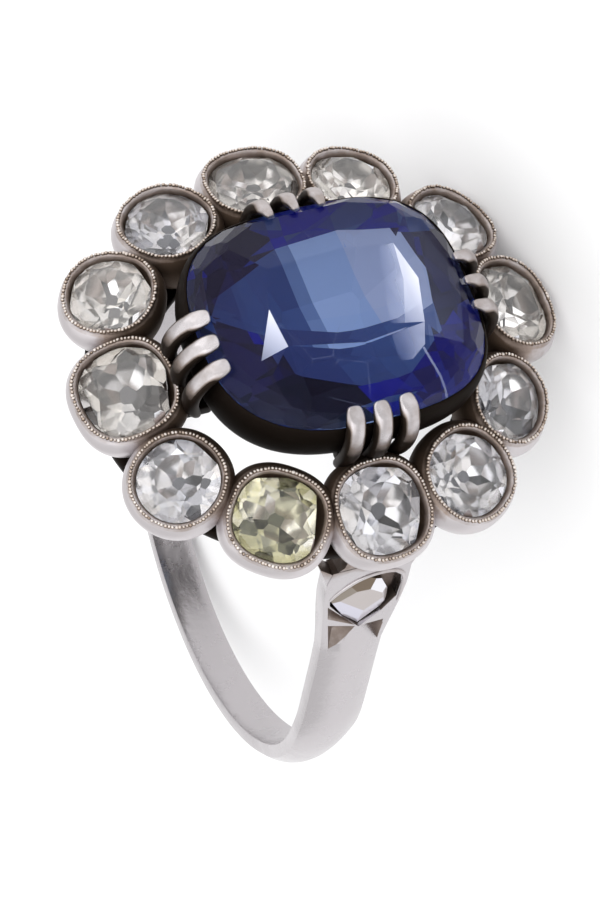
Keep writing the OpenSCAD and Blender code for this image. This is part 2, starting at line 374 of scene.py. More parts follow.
def metal(name, bright, dark, roughness, tarnishAndShadeBase, scratch=0.25, grain=2600):
    # Silvery, and brown where the painted value of tarnish and painted shade is high, with fine grain and
    # light scratches.
    material, tree, shader = newMaterial(name)
    painted = addNode(tree, "Attribute", "Fac", attribute_name="tarnish_and_shade")
    clouds = noise(tree, silver["clouds"])
    fine = noise(tree, {"Scale": grain, **silver["grain"]})
    share, part = silver["cloudShare"], silver["brightShare"]
    spread = reckon(tree, "MULTIPLY_ADD", clouds, share, tarnishAndShadeBase - share / 2)
    level = reckon(tree, "ADD", painted, spread)
    middle = [warm * (part * b + (1 - part) * d) for warm, b, d in zip(silver["warmth"], bright, dark)]
    colour = addRamp(tree, level, list(zip(silver["rampPlaces"], (bright, middle, dark))))
    rough = addNode(tree, "MapRange", "Result", {
        "Value": level, "To Min": roughness, "To Max": roughness + silver["roughening"]})
    bump = addNode(tree, "Bump", "Normal", {
        "Strength": scratch, "Distance": silver["depth"], "Height": fine})
    feed(tree, shader, {"Base Color": colour, "Metallic": 1, "Roughness": rough, "Normal": bump})
    return material


# clear stone: streaks to the metre, and how much of the colour they keep
clarity = {"streaks": {"Scale": 500, "Detail": 3, "Roughness": 0.5}, "kept": 0.93}


def clearCrown(name, colour, ior):
    material, tree, shader = newMaterial(name)
    streaks = noise(tree, clarity["streaks"])
    tint = addRamp(tree, streaks, [(0, [c * clarity["kept"] for c in colour]), (1, colour)])
    feed(tree, shader, {"Base Color": tint, "Transmission Weight": 1, "IOR": ior, "Roughness": 0})
    return material


def facetBack(name, stops, roughness, metallic=1.0, gloss=0.5):
    # Facets with a tone each, painted light and shade, such as the lower ones that are seen through a clear
    # crown.
    material, tree, shader = newMaterial(name)
    painted = addNode(tree, "Attribute", "Fac", attribute_name="tone")
    feed(tree, shader, {
        "Base Color": addRamp(tree, painted, stops), "Metallic": metallic, "Roughness": roughness,
        "Specular IOR Level": gloss})
    return material


def diamondPavilion(name, colours):
    return facetBack(name, list(zip((0.0, 0.08, 0.25, 0.45, 0.65, 0.85, 1.0), colours)), 0.12, 0.75)


hoopMetal = metal("polished_hoop", (0.5, 0.475, 0.488), (0.05, 0.033, 0.024), 0.24, 0.06, 0.5)
colletMetal = metal("satin_collet", (0.58, 0.547, 0.558), (0.085, 0.058, 0.042), 0.36, 0.12, 0.4)
beadMetal = metal("bright_beads", (0.8, 0.76, 0.73), (0.14, 0.1, 0.075), 0.3, 0.3)
# the claws' painted value carries painted shade at the foot, on the flanks and on the far groups
clawMetal = metal("rubbed_and_shaded_claws", (0.54, 0.51, 0.52), (0.03, 0.021, 0.016), 0.2, 0.26, 0.6, 1500)
# near-black tarnish and painted shade, for the cup, rail and struts in the gaps under the head
galleryMetal = metal("tarnished_shaded_gallery", (0.46, 0.42, 0.4), (0.014, 0.01, 0.008), 0.3, 0.42)
diamondCrown = clearCrown("clear_crown", (0.98, 0.965, 1.0), 1.7)
# pavilion tones from black to white: painted reflections and shade of the facets
diamondBack = diamondPavilion("clear_pavilion", [
    (0.06, 0.06, 0.065), (0.2, 0.205, 0.22), (0.55, 0.56, 0.6), (0.8, 0.78, 0.74), (0.92, 0.94, 0.98),
    (1.0, 0.98, 0.94), (1.0, 1.0, 1.0)])
yellowBack = diamondPavilion("yellow_pavilion", [
    (0.07, 0.07, 0.045), (0.22, 0.22, 0.14), (0.55, 0.54, 0.38), (0.8, 0.78, 0.55), (0.95, 0.93, 0.72),
    (1.0, 0.98, 0.86), (1.0, 1.0, 0.97)])
warmBack = diamondPavilion("warm_white_pavilion", [
    (0.06, 0.057, 0.055), (0.2, 0.195, 0.19), (0.55, 0.54, 0.52), (0.79, 0.765, 0.71), (0.94, 0.92, 0.87),
    (1.0, 0.98, 0.94), (1.0, 1.0, 0.99)])
# rose-cut facets: painted reflections, from dark brown to a white highlight
roseFacets = facetBack("rose_cut_facets", [
    (0.0, (0.03, 0.02, 0.015)), (0.2, (0.16, 0.12, 0.085)), (0.4, (0.3, 0.26, 0.22)),
    (0.6, (0.44, 0.4, 0.38)), (0.8, (0.55, 0.54, 0.62)), (1.0, (1.0, 1.0, 1.0))], 0.16, 0.6)
blueCrown = clearCrown("blue_crown", (0.42, 0.5, 0.8), 1.52)
# sapphire pavilion tones: painted reflections and shade, from near black to white
blueBack = facetBack("blue_pavilion", [
    (0.0, (0.001, 0.001, 0.005)), (0.1, (0.03, 0.024, 0.05)), (0.2, (0.03, 0.028, 0.15)),
    (0.3, (0.016, 0.018, 0.4)), (0.4, (0.06, 0.085, 0.22)), (0.5, (0.11, 0.19, 0.38)),
    (0.68, (0.62, 0.8, 0.96)), (0.85, (0.92, 0.95, 0.97)), (1.0, (0.98, 0.99, 1.0))], 0.3, 0.0, 0.1)
# near-white mirror: a painted glint on a few crown facets
glintFacet = facetBack("painted_glint_facet", [(0.0, (0.6, 0.6, 0.64)), (1.0, (0.95, 0.95, 1.0))], 0.25)

# worn crown of the centre stone: pale colour for its painted highlights and its scratches, dim violet
# reflections, and hairline scratches in patches
crownWearAndHighlight = {
    "paleColour": (0.78, 0.8, 0.9, 1), "reflections": (0.2, 0.17, 0.28, 1),
    "scratches": {"Scale": 420}, "width": 0.009, "strength": 0.09,
    "patches": {"Scale": 500, "Detail": 2}, "patchFrom": 0.5, "patchTo": 0.6}


def addWearAndHighlight(material):
    # from clear to the pale colour, by the painted highlight or the scratches
    tree = material.node_tree
    shader = tree.nodes["Principled BSDF"]
    clear = shader.inputs["Base Color"].links[0].from_socket
    place = addNode(tree, "TexCoord", "Object")
    painted = addNode(tree, "Attribute", "Fac", attribute_name="wear_and_highlight")
    cracks = addNode(tree, "TexVoronoi", "Distance", {"Vector": place, **crownWearAndHighlight["scratches"]},
                     feature="DISTANCE_TO_EDGE")
    fine = addNode(tree, "MapRange", "Result", {
        "Value": cracks, "From Max": crownWearAndHighlight["width"], "To Min": crownWearAndHighlight["strength"], "To Max": 0})
    here = addNode(tree, "MapRange", "Result", {
        "Value": noise(tree, crownWearAndHighlight["patches"]), "From Min": crownWearAndHighlight["patchFrom"], "From Max": crownWearAndHighlight["patchTo"]})
    wear_and_highlight = reckon(tree, "MAXIMUM", painted, reckon(tree, "MULTIPLY", fine, here))
    light = reckon(tree, "SUBTRACT", 1, wear_and_highlight)
    mixed = addNode(tree, "Mix", "Result", {"Factor": wear_and_highlight, "A": clear, "B": crownWearAndHighlight["paleColour"]},
                    data_type="RGBA")
    feed(tree, shader, {
        "Base Color": mixed, "Transmission Weight": light, "Specular Tint": crownWearAndHighlight["reflections"]})


addWearAndHighlight(blueCrown)
print("materials mixed")

# collets of the halo, clockwise from the far shoulder
halo = {
    "rimHeight": 13.9, "tilt": 20, "sides": 56, "firstSide": 90, "stepSide": 30,
    # place of the rim, size across and along, squareness, turn
    "collets": [
        (0.23, 7.12, 3.62, 3.75, 2.3, 0), (3.89, 6.25, 3.55, 3.5, 2.2, 8), (6.93, 3.6, 3.3, 3.5, 2.3, 0),
        (8.03, -0.14, 3.2, 3.85, 2.3, 0), (6.35, -3.92, 3.15, 3.6, 2.1, 0), (3.73, -6.43, 3.6, 3.6, 2.2, 0),
        (0.02, -6.96, 3.75, 3.65, 2.4, 4), (-3.91, -6.3, 3.6, 3.75, 2.4, -6),
        (-6.97, -3.87, 3.6, 3.5, 2.1, 0), (-7.56, 0.14, 3.8, 3.9, 2.5, 5), (-6.73, 4.06, 3.5, 3.5, 2.2, 0),
        (-3.59, 6.34, 3.65, 3.5, 2.2, 0)],
    # growth of the outline and height from the rim, from the rim's inner edge round the outside
    "profile": [
        (-0.15, -0.02), (-0.08, 0.0), (0.0, -0.03), (0.01, -0.1), (0.05, -0.13), (0.1, -0.18),
        (0.22, -0.38), (0.29, -0.65), (0.24, -1.05), (0.06, -1.5), (-0.14, -1.85), (-0.45, -2.3),
        (-0.75, -2.32), (-1.0, -2.28), (-0.92, -1.5), (-0.6, -0.8), (-0.31, -0.5), (-0.25, -0.3),
        (-0.19, -0.1)]}
# painted shade on a collet's side to the middle and at its foot, brown tarnish in its seat and in the
# groove outside the beads (with painted shade there on the side to the middle), with the heights over which
# it grows
colletBrown = {
    "inward": (0.45, -0.7), "side": 0.85, "sideHeights": (0.0, -0.25),
    "foot": 0.5, "footHeights": (-1.0, -2.0),
    "seatEdge": -0.12, "seat": 0.32, "seatGrowth": 0.5, "seatHeights": (-0.05, -0.35),
    "grooveHeight": -0.16, "groove": 0.2, "grooveGrowth": 0.45}


def colletPlace(number):
    x, y, across, along, square, turn = halo["collets"][number]
    side = halo["firstSide"] - halo["stepSide"] * number
    return (Matrix.Translation((x, y, halo["rimHeight"])) @ turned(side, "Z") @ turned(halo["tilt"], "Y")
            @ turned(turn, "Z"))


def makeCollet(number):
    x, y, across, along, square, turn = halo["collets"][number]
    wall = ovalWall(f"collet_{number + 1}", across / 2, along / 2, square, halo["profile"], halo["sides"])

    # painted shade low on the side to the middle and at the foot; tarnish in the seat and the groove
    def tarnish_and_shade(place):
        brown = colletBrown
        angle = atan2(place.y, place.x)
        grown = place.xy.length - ovalRadius(angle, across / 2, along / 2, square)
        inward = smooth(*brown["inward"], cos(angle + radians(turn)))
        value = max(brown["side"] * inward * smooth(*brown["sideHeights"], place.z),
                    brown["foot"] * smooth(*brown["footHeights"], place.z))
        if grown < brown["seatEdge"]:
            value = max(value, brown["seat"] + brown["seatGrowth"] * smooth(*brown["seatHeights"], place.z))
        elif place.z > brown["grooveHeight"]:
            value = max(value, brown["groove"] + brown["grooveGrowth"] * inward)
        return value

    paint(wall, "tarnish_and_shade", tarnish_and_shade)
    finishMetal(wall, colletPlace(number), colletMetal)


# beads along the rims: their size, the row's place, how uneven they are, brown at their feet
millgrain = {
    "radius": 0.074, "segments": 8, "rings": 6, "step": 0.13, "inset": -0.045, "height": 0.01,
    "shift": 0.028, "sizes": (0.8, 1.15), "brown": 0.7, "brownHeights": (0.085, 0.01)}


def makeBeads(number):
    # A row of millgrain along a collet's rim: one bead, put on each point of the row.
    x, y, across, along, square, turn = halo["collets"][number]
    across, along = across / 2 + millgrain["inset"], along / 2 + millgrain["inset"]
    count = round(pi * (across + along) / millgrain["step"])
    row = ovalCircle("row", across, along, square, count, millgrain["height"])
    startEdit(row)
    bpy.ops.transform.vertex_random(offset=millgrain["shift"], seed=number + 1)
    endEdit()
    bead = startPiece("bead", bpy.ops.mesh.primitive_uv_sphere_add, segments=millgrain["segments"],
                      ring_count=millgrain["rings"], radius=millgrain["radius"])
    bpy.ops.object.shade_smooth()
    bead.parent = row
    row.instance_type = "VERTS"
    keepActive(row)
    bpy.ops.object.duplicates_make_real()
    beads = [o for o in bpy.context.selected_objects if o is not row and o is not bead]
    row.instance_type = "NONE"
    rng = random.Random(number)
    for item in beads:
        item.parent = None
        item.scale = [rng.uniform(*millgrain["sizes"]) for axis in range(3)]
    bpy.data.objects.remove(bead)
    bpy.data.objects.remove(row)
    clearSelection()
    for item in beads:
        item.data = item.data.copy()
        item.select_set(True)
    bpy.context.view_layer.objects.active = beads[0]
    bpy.ops.object.join()
    grain = bpy.context.object
    grain.name = f"millgrain_{number + 1}"
    bpy.ops.object.transform_apply()
    paint(grain, "tarnish_and_shade", lambda place: millgrain["brown"] * smooth(*millgrain["brownHeights"], place.z))
    finishMetal(grain, colletPlace(number), beadMetal)


for number in range(len(halo["collets"])):
    makeCollet(number)
    makeBeads(number)
print("collets and millgrain made")


# centre stone's outline, shared by its cup, claws and stone
gem = {
    "across": 5.3, "along": 4.5, "square": 3.15, "soft": 0.6, "softAt": radians(220),
    "place": Vector((0.3, 0.05, 16.1))}
gemPlace = Matrix.Translation(gem["place"])


def gemSquare(turn):
    return gem["square"] - gem["soft"] * max(0, cos(turn - gem["softAt"]))


cup = {
    "sides": 96,
    "profile": [
        (0.05, 0.0), (0.12, -0.12), (0.22, -0.5), (0.2, -1.2), (0.12, -1.9), (-0.3, -2.5), (-0.75, -2.95),
        (-1.5, -4.1), (-1.9, -4.1), (-1.25, -2.9), (-0.4, -1.9), (-0.22, -0.7), (-0.05, -0.3),
        (-0.02, -0.05)],
    # brown all over, tarnish and painted shade, with more painted shade below the rim under the stone and
    # less at the foot, with the heights of each
    "brown": 0.62, "more": 0.3, "moreHeights": (-0.1, -1.0), "less": 0.55, "lessHeights": (-2.4, -3.2)}


def makeCup():
    wall = ovalWall("cup", gem["across"], gem["along"], gemSquare, cup["profile"], cup["sides"])
    # painted shade under the stone, with tarnish
    paint(wall, "tarnish_and_shade", lambda place: (
        cup["brown"] + cup["more"] * smooth(*cup["moreHeights"], place.z)
        - cup["less"] * smooth(*cup["lessHeights"], place.z)))
    finishMetal(wall, gemPlace, galleryMetal)


# claws: four groups of three; one claw is drawn standing on +X
claws = {
    "width": 0.73, "pitch": 1.05, "fan": 5, "outerIn": 0.04, "sides": 12, "smoothAngle": 28,
    # angle round the stone, girdle's distance, shift along that side, bulge, width left at the tip, painted
    # shade over the whole group, given to the far groups
    "groups": [
        (0, 5.3, -0.24, 0, 0.6, 0.1), (90, 4.5, 0.16, 0, 0.6, 0.1), (180, 5.3, 0.24, 0.22, 1, 0.0),
        (270, 4.5, 0, 0, 1, 0.0)],
    # distance out, height, part of the width, thickness, part of the bulge
    "path": [
        (0.15, -2.7, 0.8, 0.5, 0), (0.42, -1.9, 0.95, 0.64, 0.8), (0.56, -1.0, 1.0, 0.72, 1),
        (0.5, -0.2, 1.0, 0.68, 0.5), (0.28, 0.34, 1.0, 0.6, 0.1), (-0.04, 0.6, 0.95, 0.46, 0),
        (-0.3, 0.72, 0.78, 0.34, 0), (-0.42, 0.76, 0.5, 0.22, 0)],
    "tipLevels": 3, "fullness": 1.1, "roundness": 0.8, "outerPart": 1.05, "innerPart": 0.75,
    # flat pad on the tip: its place and the direction that it faces
    "padPlace": (0.05, 0, 0.73), "padFace": (0.3, 0, 1.0),
    # painted shade at the foot under the stone and on the flanks between claws, and where each grows
    "foot": 0.85, "footHeights": (0.1, -1.3),
    "flank": 0.8, "flankWidths": (0.2, 0.34), "flankHeights": (0.7, 0.35)}


def clawPoint(bulge, tip, level, turn):
    path = claws["path"]
    out, height, part, thick, share = path[level]
    if level >= len(path) - claws["tipLevels"]:
        part *= tip
    before, after = path[max(0, level - 1)], path[min(len(path) - 1, level + 1)]
    lean = atan2(after[1] - before[1], after[0] - before[0])
    across, along = sin(turn), cos(turn)
    depth = thick / 2 * along * (claws["outerPart"] if along > 0 else claws["innerPart"])
    width = (claws["width"] / 2 * part * claws["fullness"]
             * copysign(abs(across) ** claws["roundness"], across))
    return Vector((out + bulge * share + depth * sin(lean), width, height - depth * cos(lean)))


def clawBrown(place):
    flank = smooth(*claws["flankWidths"], abs(place.y)) * smooth(*claws["flankHeights"], place.z)
    return max(claws["foot"] * smooth(*claws["footHeights"], place.z), claws["flank"] * flank)


def makeClaws():
    for number, (side, girdle, shift, bulge, tip, least) in enumerate(claws["groups"]):
        first = tower(f"claw_{number + 1}_1", claws["sides"], len(claws["path"]),
                      lambda level, turn: clawPoint(bulge, tip, level, turn))
        addModifier(first, "SUBSURF", levels=2, render_levels=2)
        startEdit(first)
        bpy.ops.mesh.bisect(
            plane_co=claws["padPlace"], plane_no=claws["padFace"], use_fill=True, clear_outer=True)
        endEdit()
        smoothByAngle(first, claws["smoothAngle"])
        # painted shade: the group's share, and more at the foot and on the flanks
        paint(first, "tarnish_and_shade", lambda place: least + clawBrown(place))
        group = [first, copyOf(first, f"claw_{number + 1}_2"), copyOf(first, f"claw_{number + 1}_3")]
        for k, claw in zip((-1, 0, 1), group):
            offset = Matrix.Translation((girdle - claws["outerIn"] * abs(k), shift + k * claws["pitch"], 0))
            spot = turned(side, "Z") @ offset @ turned(k * claws["fan"], "Z")
            finishMetal(claw, gemPlace @ spot, clawMetal)


# the rail and struts sit in the gaps under the head: their brown is tarnish and painted shade, darkest on
# the struts and on the rail's top
gallery = {
    "railLength": 16.7, "railWidth": 15.2, "railIn": 2.4, "railThick": 0.6, "railHeight": 11.5,
    "railRound": 0.08, "railSides": 96, "railBrown": 0.28, "topBrown": 0.4, "topHeights": (0.02, 0.3),
    "strutWidth": 1.7, "strutThick": 0.65, "strutHeight": 12.6, "strutIn": 0.7, "strutOut": 1.15,
    "strutRound": 0.12, "strutBrown": 0.7, "smoothAngle": 35}


def makeRail():
    thick, deep, small = gallery["railThick"], gallery["railIn"], gallery["railRound"]
    profile = [
        (-small, thick), (0, thick - small), (0, small), (-small, 0),
        (small - deep, 0), (-deep, small), (-deep, thick - small), (small - deep, thick)]
    rail = ovalWall("gallery_rail", gallery["railLength"] / 2, gallery["railWidth"] / 2, 2, profile,
                    gallery["railSides"])
    paint(rail, "tarnish_and_shade", lambda place: (
        gallery["railBrown"] + gallery["topBrown"] * smooth(*gallery["topHeights"], place.z)))
    finishMetal(rail, Matrix.Translation((0, 0, gallery["railHeight"])), galleryMetal)


def makeStruts():
    # One strut below each group of claws.
    size = (gallery["strutIn"] + gallery["strutOut"], gallery["strutWidth"], gallery["strutThick"])
    first = startPiece("strut_1", bpy.ops.mesh.primitive_cube_add, size=1, scale=size)
    bpy.ops.object.transform_apply()
    addModifier(first, "BEVEL", width=gallery["strutRound"], segments=3)
    smoothByAngle(first, gallery["smoothAngle"])
    paint(first, "tarnish_and_shade", lambda place: gallery["strutBrown"])
    struts = [first] + [copyOf(first, f"strut_{number}") for number in (2, 3, 4)]
    height = gallery["strutHeight"] - gem["place"].z + size[2] / 2
    for strut, (side, girdle, shift, bulge, tip, least) in zip(struts, claws["groups"]):
        offset = Matrix.Translation((girdle - gallery["strutIn"] + size[0] / 2, shift, height))
        finishMetal(strut, gemPlace @ turned(side, "Z") @ offset, galleryMetal)


makeCup()
makeClaws()
makeRail()
makeStruts()
print("cup, claws and gallery made")

# hoop: heights are above the middle of the finger hole, in mm
hoop = {
    "bore": 8.7, "lean": radians(10), "topHeight": 10.6, "arcSteps": 60, "sideSteps": 16,
    # height, width, thickness at the edges and in the middle
    "rows": [
        (-8.7, 1.5, 0.5, 0.9), (-5.22, 1.65, 0.5, 0.9), (0, 2.45, 0.5, 0.9), (4.4, 2.45, 0.55, 0.9),
        (5.6, 2.5, 0.55, 0.85), (6.6, 2.75, 0.62, 0.76), (7.6, 3.05, 0.67, 0.72), (8.8, 3.35, 0.7, 0.7),
        (10, 3.4, 0.7, 0.7), (10.6, 3.1, 0.7, 0.7)],
    # the section that is bent round, before the rows give it its thickness
    "domeParts": 10, "innerParts": 4, "startEdge": 0.5, "startRise": 0.4, "outerFrom": 0.25,
    "plate": 0.7, "edgeRound": 0.05, "bevelAngle": 40, "smoothAngle": 32,
    # painted shade at the top of the hoop, under the head
    "topBrown": 0.5, "topHeights": (10.2, 10.9)}
# shoulders: outlines as place across the plate and height, seen from outside
shoulder = {
    "ears": [(1.6, 9.2), (1.67, 10), (2.12, 11.15), (1.5, 10.6), (1.1, 10.9), (0.9, 11.7)], "earSink": 0.02,
    "recess": [
        (0.03, 6.98), (0.85, 7.6), (1.38, 8.3), (1.43, 9.1), (1.36, 9.6), (1.02, 9.93), (0.4, 10.02),
        (-0.2, 9.95), (-0.85, 9.55), (-1.42, 8.95), (-1.38, 8.7), (-0.7, 7.75)],
    "recessHeights": (-0.55, 2),
    # cuts of the graver, and their wedge: part of the outline and height at each end
    "cuts": [
        [(-0.2, 7.02), (-1.28, 7.45), (-1.02, 5.78)], [(0.16, 6.98), (1.08, 6.98), (1.06, 5.66)],
        [(-0.22, 7.2), (-1.46, 8.66), (-1.34, 7.84)]],
    "wedge": [(0.1, -0.34), (1.9, 0.34)],
    # brown tarnish in the hollows between two depths, and painted shade deep down on one side
    "brown": 0.5, "brownDepths": (-0.62, -0.02), "more": 0.3, "moreSides": (0.3, 1.2),
    "moreDepths": (-0.1, -0.4),
    "rim": [
        (1.46, 7.9), (1.53, 8.6), (1.53, 9.3), (1.45, 9.72), (1.1, 10.02), (0.45, 10.12), (-0.25, 10.05),
        (-0.95, 9.62), (-1.5, 9.02)],
    "rimRadius": 0.075, "rimWiden": 1.3, "rimEnd": 0.35, "rimSides": 8}
arcAngle = pi / 2 + hoop["lean"]
arcLength = hoop["bore"] * arcAngle


def hoopLine(length):
    # Place and outward direction of the bore's line at a length from the back.
    turn = min(length, arcLength) / hoop["bore"]
    out = Vector((0, sin(turn), -cos(turn)))
    straight = max(0.0, length - arcLength) * Vector((0, cos(turn), sin(turn)))
    return out * hoop["bore"] + straight, out


arcEnd, sideOut = hoopLine(arcLength)
plateFoot = arcEnd + hoop["plate"] * sideOut


def shoulderPlace(way):
    # The plate's face: X across, Y up it, Z outward, with heights measured as on the upright ring.
    return (Matrix.Rotation(pi if way > 0 else 0, 4, "Z")
            @ Matrix.Translation((0, -plateFoot.y, plateFoot.z))
            @ Matrix.Rotation(pi / 2 - hoop["lean"], 4, "X"))


def onFace(points):
    return [(x, (height - plateFoot.z) / cos(hoop["lean"])) for x, height in points]


def bendBand():
    # A section is spun round the back and drawn up to the head, then given its widths and thicknesses.
    dome, flat = hoop["domeParts"], hoop["innerParts"]
    section = []
    for i in range(dome + 1):
        x = 1 - 2 * i / dome
        section.append((x, hoop["startEdge"] + hoop["startRise"] * (1 - x ** 2)))
    section += [(-1 + 2 * i / flat, 0) for i in range(flat + 1)]
    band = startPiece("hoop", bpy.ops.mesh.primitive_circle_add, vertices=len(section))
    for vert, (x, thick) in zip(band.data.vertices, section):
        vert.co = (x, 0, -hoop["bore"] - thick)
    startEdit(band)
    bpy.ops.mesh.spin(steps=hoop["arcSteps"], angle=arcAngle, center=(0, 0, 0), axis=(-1, 0, 0))
    step = (hoop["topHeight"] - arcEnd.z) / cos(hoop["lean"]) / hoop["sideSteps"]
    up = Vector((0, -sin(hoop["lean"]), cos(hoop["lean"])))
    for i in range(hoop["sideSteps"]):
        extrude(up * step)
    bpy.ops.mesh.edge_face_add()
    endEdit()
    for vert in band.data.vertices:
        place = vert.co
        turn = atan2(place.y, -place.z)
        if turn < arcAngle:
            length, thick = turn * hoop["bore"], place.yz.length - hoop["bore"]
        else:
            length, thick = arcLength + (place - arcEnd).dot(up), (place - arcEnd).dot(sideOut)
        spot, outward = hoopLine(length)
        width, edge, crown = (between(hoop["rows"], spot.z, column) for column in (1, 2, 3))
        x = place.x
        if thick > hoop["outerFrom"]:
            thick = edge + (crown - edge) * (1 - x * x)
        vert.co = Vector((x * width / 2, 0, 0)) + spot + outward * thick
    addModifier(band, "MIRROR", use_axis=(False, True, False), merge_threshold=merge["mirror"])
    turnOut(band)
    return band


def graverWedge(corners):
    # Three-sided and narrow below, for one cut.
    flat = onFace(corners)
    middle = (sum(x for x, y in flat) / 3, sum(y for x, y in flat) / 3)

    def wedgePoint(level, turn):
        x, y = flat[round((turn % (2 * pi)) / (2 * pi / 3)) % 3]
        part, height = shoulder["wedge"][level]
        return Vector((middle[0] + part * (x - middle[0]), middle[1] + part * (y - middle[1]), height))

    return tower("graver", 3, 2, wedgePoint)


def cutShoulders(band):
    half, sink = shoulder["ears"], shoulder["earSink"]
    both = half + [(-x, y) for x, y in reversed(half)]
    ears = plateFrom("ears", onFace(both), sink - hoop["plate"], -sink)
    cutters = [plateFrom("recess", onFace(shoulder["recess"]), *shoulder["recessHeights"])]
    cutters += [graverWedge(corners) for corners in shoulder["cuts"]]
    for way in (-1, 1):
        carve(band, ears, shoulderPlace(way), "UNION")
    for way in (-1, 1):
        for cutter in cutters:
            carve(band, cutter, shoulderPlace(way))
    for cutter in [ears] + cutters:
        bpy.data.objects.remove(cutter)


def makeHoop():
    band = bendBand()
    cutShoulders(band)
    addModifier(band, "BEVEL", width=hoop["edgeRound"], segments=3, limit_method="ANGLE",
                angle_limit=radians(hoop["bevelAngle"]))
    smoothByAngle(band, hoop["smoothAngle"])
    faces = [shoulderPlace(way).inverted() for way in (-1, 1)]
    hollows = [onFace(corners) for corners in [shoulder["recess"]] + shoulder["cuts"]]
    deepest, shallowest = shoulder["brownDepths"]

    def tarnish_and_shade(place, middle):
        # painted shade at the top, under the head
        value = hoop["topBrown"] * smooth(*hoop["topHeights"], place.z)
        for toFace in faces:
            spot = toFace @ middle
            if deepest < spot.z < shallowest and any(inside(corners, spot) for corners in hollows):
                # painted shade deep down on one side of the hollow
                more = smooth(*shoulder["moreSides"], spot.x) * smooth(*shoulder["moreDepths"], spot.z)
                value = max(value, shoulder["brown"] + shoulder["more"] * more)
        return value

    paintCorners(band, "tarnish_and_shade", tarnish_and_shade)
    finishMetal(band, Matrix.Identity(4), hoopMetal)


def makeRims():
    # The raised edge round the top of each recess.
    points = [Vector((*point, 0.0)) for point in onFace(shoulder["rim"])]
    last = len(points) - 1

    def rimPoint(level, turn):
        along = (points[min(last, level + 1)] - points[max(0, level - 1)]).normalized()
        aside = along.cross(Vector((0, 0, 1)))
        radius = shoulder["rimRadius"] * (shoulder["rimEnd"] if level in (0, last) else 1)
        outward = aside * radius * shoulder["rimWiden"] * cos(turn)
        return points[level] + outward + Vector((0, 0, radius * sin(turn)))

    first = tower("recess_rim_1", shoulder["rimSides"], len(points), rimPoint)
    addModifier(first, "SUBSURF", levels=2, render_levels=2)
    bpy.ops.object.shade_smooth()
    paint(first, "tarnish_and_shade", lambda place: 0.0)
    for rim, way in ((first, -1), (copyOf(first, "recess_rim_2"), 1)):
        finishMetal(rim, shoulderPlace(way), clawMetal)


makeHoop()
makeRims()
print("hoop and shoulders made")


# cut stones, ground facet by facet as a cutter does

def support(outline, turn):
    return max(x * cos(turn) + y * sin(turn) for x, y in outline)


def facing(turn, slope):
    return Vector((cos(turn) * sin(slope), sin(turn) * sin(slope), cos(slope)))


def grindAt(place, normal):
    # Cuts away all that stands outside a facet, given by a point on it and its direction.
    bpy.ops.mesh.select_all(action="SELECT")
    bpy.ops.mesh.bisect(
        plane_co=place, plane_no=normal, use_fill=True, clear_outer=True, threshold=merge["cut"])


def grind(turn, slope, offset, height):
    # the same, with the facet's direction, slope, distance from the middle and height
    grindAt((offset * cos(turn), offset * sin(turn), height), facing(turn, slope))


def squaredPrism(name, across, along, square, sides, depth):
    # A prism round a squared oval, and its outline.
    prism = startPiece(name, bpy.ops.mesh.primitive_cylinder_add, vertices=sides, depth=depth)
    return prism, makeOval(prism, across, along, square)


def toneFaces(stone, tone):
    # Gives each face a tone by its middle and direction.
    values = stone.data.attributes.new("tone", "FLOAT", "FACE")
    for face, value in zip(stone.data.polygons, values.data):
        value.value = tone(face.center, face.normal)


oldCut = {
    "sides": 40, "depth": 4, "mains": 8, "girdle": 0.05, "sink": 0.26, "clearance": 0.25,
    "tableHeight": 0.5, "tablePart": 0.56, "keelPart": 0.45, "keelDepth": 0.8, "culet": 1.1,
    # slopes of the facets, in degrees, and how far each may be off
    "crown": 38, "star": 24, "upper": 46, "pavilion": 41, "lower": 44, "keel": 33,
    "tableJitter": 1.0, "turnJitter": 4, "slopeJitter": 2.2, "lowerJitter": 1,
    # the tones paint the facets' reflections and shade: a share of dark facets, a dark culet, the rest at
    # random
    "darkShare": 0.07, "darkTone": 0.04, "tones": (0.25, 1), "flatBelow": -0.99,
    # faces of the back, and the few crown faces with a painted glint: share, least and greatest area
    "backBelow": -0.05, "brightShare": 0.1, "brightAreas": (0.01, 0.16)}
# stones that aren't colourless, by number
tinted = {1: warmBack, 2: warmBack, 4: warmBack, 8: yellowBack, 10: warmBack, 11: warmBack}
# sides where a stone stops short of its seat: its number, direction in the collet and part of the outline
flatSides = {
    1: [(150, 0.95)], 2: [(200, 0.93)], 3: [(160, 0.92)], 4: [(175, 0.93), (90, 0.95)], 5: [(120, 0.92)],
    6: [(130, 0.9), (-100, 0.95)], 7: [(65, 0.84), (161, 0.93)], 8: [(105, 0.82), (200, 0.93)],
    9: [(177, 0.93)], 10: [(160, 0.88), (-120, 0.95)], 11: [(140, 0.88), (-140, 0.9), (0, 0.95)],
    12: [(-150, 0.92), (30, 0.95)]}


